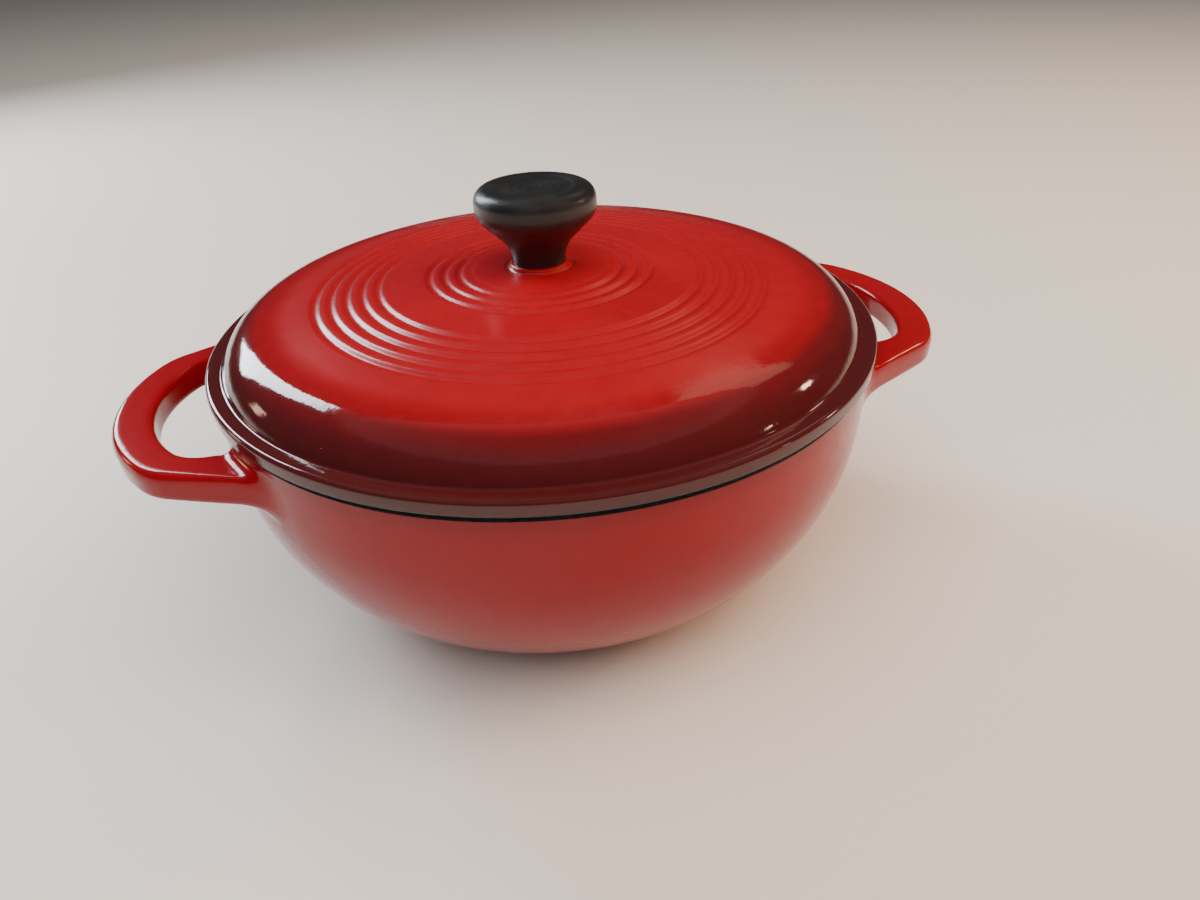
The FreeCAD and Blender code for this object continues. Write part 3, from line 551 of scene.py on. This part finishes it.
class Track:
    """A plan curve of arcs and lines, followed by its length from the tip to the wall."""

    def __init__(self, x, y):
        self.points = [Vector((x, y))]

    def arc(self, centre, angle, steps=48):
        middle = Vector(centre)
        start = self.points[-1] - middle
        for step in range(1, steps + 1):
            turn = Matrix.Rotation(angle * step / steps, 2)
            self.points.append(middle + turn @ start)

    def line(self, x, y, steps=40):
        start = self.points[-1].copy()
        for step in range(1, steps + 1):
            self.points.append(start.lerp(Vector((x, y)), step / steps))

    def at_gap(self, gap):
        """The point at a distance outside the wall, coming from the tip."""
        for here, there in zip(self.points, self.points[1:]):
            a, b = here.length - ROOT_RADIUS - gap, there.length - ROOT_RADIUS - gap
            if a >= 0 >= b:
                return here.lerp(there, a / (a - b) if a > b else 0)
        return self.points[-1].copy()

    def share(self, part, stop):
        """The point a part of the way from the tip to where the gap is stop."""
        run, lengths, end = [self.points[0]], [0.0], self.at_gap(stop)
        for point in self.points[1:]:
            if point.length - ROOT_RADIUS < stop:
                break
            run.append(point)
            lengths.append(lengths[-1] + (point - run[-2]).length)
        run.append(end)
        lengths.append(lengths[-1] + (end - run[-2]).length)
        goal = part * lengths[-1]
        for i in range(1, len(run)):
            if lengths[i] >= goal:
                span = lengths[i] - lengths[i - 1]
                return run[i - 1].lerp(run[i], (goal - lengths[i - 1]) / span if span else 0)
        return end


def turn_between(centre, here, there):
    """The signed angle from one point to another about a centre."""
    a, b = Vector(here) - Vector(centre), Vector(there) - Vector(centre)
    return math.atan2(a.x * b.y - a.y * b.x, a.dot(b))


def outer_track():
    """The loop's outer side: tip, corner, leaning arm and a root that runs along the wall."""
    tip, tip_round, corner_round = 176.3, 80.0, 26.0
    away = Vector((math.sin(ARM_LEAN), math.cos(ARM_LEAN)))
    along = Vector((away.y, -away.x))
    side = Vector((141.2, 58.5)).dot(away)
    tip_centre = Vector((tip - tip_round, 0))
    reach = tip_round - corner_round
    drop = side - corner_round - tip_centre.dot(away)
    corner = tip_centre + away * drop + along * math.sqrt(reach ** 2 - drop ** 2)
    corner_start = tip_centre + (corner - tip_centre) * (tip_round / reach)
    root_reach = ROOT_RADIUS + ROOT_ROUND
    root_side = side + ROOT_ROUND
    root = away * root_side + along * math.sqrt(root_reach ** 2 - root_side ** 2)
    track = Track(tip, 0)
    track.arc(tip_centre, turn_between(tip_centre, (tip, 0), corner_start))
    track.arc(corner, turn_between(corner, corner_start, corner + away * corner_round))
    track.line(*(root - away * ROOT_ROUND))
    meeting = root * (ROOT_RADIUS / root_reach)
    track.arc(root, turn_between(root, root - away * ROOT_ROUND, meeting))
    return track


def inner_track():
    """The finger gap's side of the loop."""
    tip, tip_round, bend_round, side = 160.5, 70.0, 15.0, 43.8
    tip_centre = Vector((tip - tip_round, 0))
    reach = tip_round - bend_round
    bend = Vector((tip_centre.x + math.sqrt(reach ** 2 - (side - bend_round) ** 2), side - bend_round))
    bend_start = tip_centre + (bend - tip_centre) * (tip_round / reach)
    track = Track(tip, 0)
    track.arc(tip_centre, turn_between(tip_centre, (tip, 0), bend_start))
    track.arc(bend, turn_between(bend, bend_start, (bend.x, side)))
    track.line(math.sqrt(ROOT_RADIUS ** 2 - side ** 2), side)
    return track


def flare(gap, radius):
    """How far a blend of a radius has spread at a distance from the wall."""
    if gap >= radius:
        return 0.0
    return radius - math.sqrt(radius ** 2 - (radius - max(gap, 0)) ** 2)


def loop_ring(inner, outer, gap, skirt):
    """One cross-section of a loop: a rounded block that spreads out near the wall."""
    low = LOOP_LOW - flare(gap, UNDER_BLEND) - skirt
    high = LOOP_TOP + flare(gap, TOP_BLEND) + skirt / 4
    width = (outer - inner).length
    near = -(flare(gap, GAP_BLEND) + skirt) / width
    far = 1 + (flare(gap, 1.0) + skirt) / width
    round_off = 2.8 + 0.8 * flare(gap, UNDER_BLEND)
    across = (far - near) * width
    tall = high - low
    corners = (
        (across - round_off, tall - round_off, 0), (round_off, tall - round_off, 1),
        (round_off, round_off, 2), (across - round_off, round_off, 3),
    )
    outline = []
    for x, z, quarter in corners:
        for step in range(7):
            angle = (quarter + step / 6) * math.pi / 2
            outline.append((x + round_off * math.cos(angle), z + round_off * math.sin(angle)))
    filled = []
    for index, here in enumerate(outline):
        there = outline[(index + 1) % len(outline)]
        filled.append(here)
        if (index + 1) % 7 == 0:
            for step in range(1, 6):
                filled.append(Vector(here).lerp(Vector(there), step / 6))
    ring = []
    hold = min(1.0, max(0.0, (BEND_FROM - gap) / (BEND_FROM - BEND_TO)))
    for x, z in filled:
        height = low + z
        spot = inner.lerp(outer, near + x / width)
        middle = 1 - abs(2 * z / tall - 1.25) / 0.75
        if x > across - 0.01 and middle > 0 and gap > 1:
            spot += (outer - inner).normalized() * 0.3 * middle
        reach = wall_radius(height) + gap
        if gap <= BEND_FROM:
            spot *= 1 + (reach / spot.length - 1) * hold
        ring.append(Vector((spot.x, spot.y, height)))
    return ring


def make_loop(name, side):
    """One loop handle; side is 1 on the right and -1 on the left."""
    inner, outer = inner_track(), outer_track()
    blend = [UNDER_BLEND * (1 - math.sin(math.radians(a))) for a in range(90, 0, -9)]
    gaps = [-0.12] + blend + [UNDER_BLEND, UNDER_BLEND + 2.0]
    half = []
    for gap in gaps:
        skirt = 2.0 if gap < 0 else 0.0
        half.append(loop_ring(inner.at_gap(gap), outer.at_gap(gap), gap, skirt))
    stop, steps = 12.5, 36
    for step in range(steps, -1, -1):
        a, b = inner.share(step / steps, stop), outer.share(step / steps, stop)
        gap = stop if step == steps else 20.0
        half.append(loop_ring(a, b, gap, 0.0))
    mirrored = [[Vector((p.x, -p.y, p.z)) for p in ring] for ring in half[-2::-1]]
    rings = half + mirrored
    around = len(rings[0])
    mesh = bmesh.new()
    bmesh.ops.create_grid(mesh, x_segments=len(rings) - 1, y_segments=around, size=1)
    columns = len(rings) - 1
    for point in mesh.verts:
        column = round((point.co.x + 1) / 2 * columns)
        row = round((point.co.y + 1) / 2 * around) % around
        place = rings[column][row]
        point.co = (side * place.x, side * place.y, place.z)
    bmesh.ops.remove_doubles(mesh, verts=mesh.verts, dist=0.0005)
    bmesh.ops.recalc_face_normals(mesh, faces=mesh.faces)
    return finish_piece(mesh, name, "pot_body", [pot_enamel], crease=50)


# ------------------------------------------------------------------ knob

def make_knob():
    base, top = BOSS_TOP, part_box("knob")[1][2] / MM
    lean = math.radians(45)
    neck, under, edge, wide = 15.0, 7.2, 5.5, 24.7
    neck_centre = (10.8 + neck, base)
    neck_end = (neck_centre[0] - neck * math.cos(lean), base + neck * math.sin(lean))
    under_start = wide - under + under * math.cos(lean)
    rise = neck_end[1] + under_start - neck_end[0]
    under_centre = (wide - under, rise + under * math.sin(lean))
    edge_centre = (wide - edge, top - edge)
    knob = Profile(0, top - 0.75)
    for ring in (3.5, 7.0, 10.5):
        knob.line(ring - 0.45, top - 0.75, 1)
        knob.line(ring - 0.15, top - 0.64, 1)
        knob.line(ring + 0.15, top - 0.64, 1)
        knob.line(ring + 0.45, top - 0.75, 1)
    knob.line(14.2, top - 0.7, 2)
    knob.line(15.2, top - 0.52, 2)
    knob.line(16.2, top - 0.14, 3)
    knob.line(17.2, top, 2)
    knob.line(edge_centre[0], top, 1)
    knob.arc(wide, edge_centre[1], edge_centre, 14)
    knob.line(wide, under_centre[1], 2)
    knob.arc(under_start, rise, under_centre, 10)
    knob.line(*neck_end, 3)
    knob.arc(10.8, base, neck_centre, 12)
    knob.line(4.5, base, 2)
    knob.line(4.5, base + 4.4, 1)
    knob.line(3.9, base + 5.0, 1)
    knob.line(3.9, base + 10.0, 1)
    knob.line(4.5, base + 10.6, 1)
    knob.line(4.5, base + 15.0, 1)
    knob.line(0, base + 15.0, 1)
    return finish_piece(
        knob.turn(128), "knob_moulding", "lid_body", [phenolic_black], crease=38,
    )


# ------------------------------------------------------------------ pieces

lid = make_lid()
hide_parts("lid")
pot = make_pot()
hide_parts("pot")
make_loop("handle_right", 1)
make_loop("handle_left", -1)
knob = make_knob()
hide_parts("knob")
for node, finish in (
    ("knob_insert", brass), ("knob_screw", steel), ("flat_washer", steel), ("spring_washer", steel),
):
    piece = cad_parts[node]
    for index in range(len(piece.material_slots)):
        piece.material_slots[index].material = finish


# ------------------------------------------------------------------ floor, light and camera

def make_floor():
    mesh = bmesh.new()
    bmesh.ops.create_grid(mesh, x_segments=4, y_segments=4, size=6)
    data = bpy.data.meshes.new("floor")
    mesh.to_mesh(data)
    mesh.free()
    floor = bpy.data.objects.new("floor", data)
    bpy.context.scene.collection.objects.link(floor)
    finish = Finish("pale_floor", Roughness=0.55, Base_Color=(0.82, 0.76, 0.69))
    data.materials.append(finish.material)


def area_light(name, azimuth, elevation, distance, size, power, colour):
    """A soft box that faces the pot from a direction, in degrees and metres."""
    data = bpy.data.lights.new(name, "AREA")
    data.shape = "RECTANGLE"
    data.size, data.size_y = size
    data.energy = power
    data.color = colour
    light = bpy.data.objects.new(name, data)
    bpy.context.scene.collection.objects.link(light)
    a, e = math.radians(azimuth), math.radians(elevation)
    aim = Vector((0, 0, 0.12))
    way = Vector((math.cos(e) * math.sin(a), -math.cos(e) * math.cos(a), math.sin(e)))
    light.location = aim + way * distance
    light.rotation_euler = way.to_track_quat("Z", "Y").to_euler()
    return light


def make_world():
    world = bpy.data.worlds.new("studio")
    bpy.context.scene.world = world
    world.use_nodes = True
    tree = Tree(world.node_tree)
    height = tree.add("SeparateXYZ", tree.add("TexCoord").outputs["Generated"]).outputs["Z"]
    shade = tree.ramp(
        height, (0.0, (0.030, 0.036, 0.040)), (0.71, (0.035, 0.045, 0.05)), (0.78, (0.28, 0.25, 0.25)),
        (0.92, (0.16, 0.15, 0.15)), (1.0, (0.05, 0.05, 0.05)),
    )
    tree.feed(world.node_tree.nodes["Background"].inputs["Color"], shade)


make_floor()
make_world()
area_light("window", -145, 27, 1.5, (0.36, 0.86), 20, (0.84, 0.92, 1.0))
area_light("warm_window", -120, 10, 1.5, (0.15, 0.20), 0.8, (1.0, 0.62, 0.42))
area_light("lamp", 86, 22, 1.6, (0.13, 0.13), 2.2, (1.0, 0.72, 0.50))
area_light("small_lamp", 60, 9, 1.6, (0.08, 0.08), 0.5, (1.0, 0.72, 0.50))
area_light("warm_wall", 130, 44, 1.6, (0.7, 0.3), 0.8, (1.0, 0.70, 0.50))
for fill in (
    area_light("overhead", -30, 66, 2.2, (2.4, 2.4), 62, (0.92, 0.97, 1.0)),
    area_light("warm_fill", 70, 40, 1.8, (1.4, 1.4), 34, (1.0, 0.62, 0.36)),
):
    fill.visible_glossy = False

camera_data = bpy.data.cameras.new("camera")
camera = bpy.data.objects.new("camera", camera_data)
bpy.context.scene.collection.objects.link(camera)
bpy.context.scene.camera = camera
camera_data.sensor_width = 36
camera_data.lens = 27.03
azimuth, pitch, roll = math.radians(-14.9), math.radians(31.81), math.radians(2.64)
turning_point = (0, 0, 0.1155)
camera.matrix_world = (
    Matrix.Translation(turning_point)
    @ Matrix.Rotation(azimuth, 4, "Z")
    @ Matrix.Translation((0.0214, -0.3593, 0.1570))
    @ Matrix.Rotation(math.pi / 2 - pitch, 4, "X")
    @ Matrix.Rotation(-roll, 4, "Z")
)
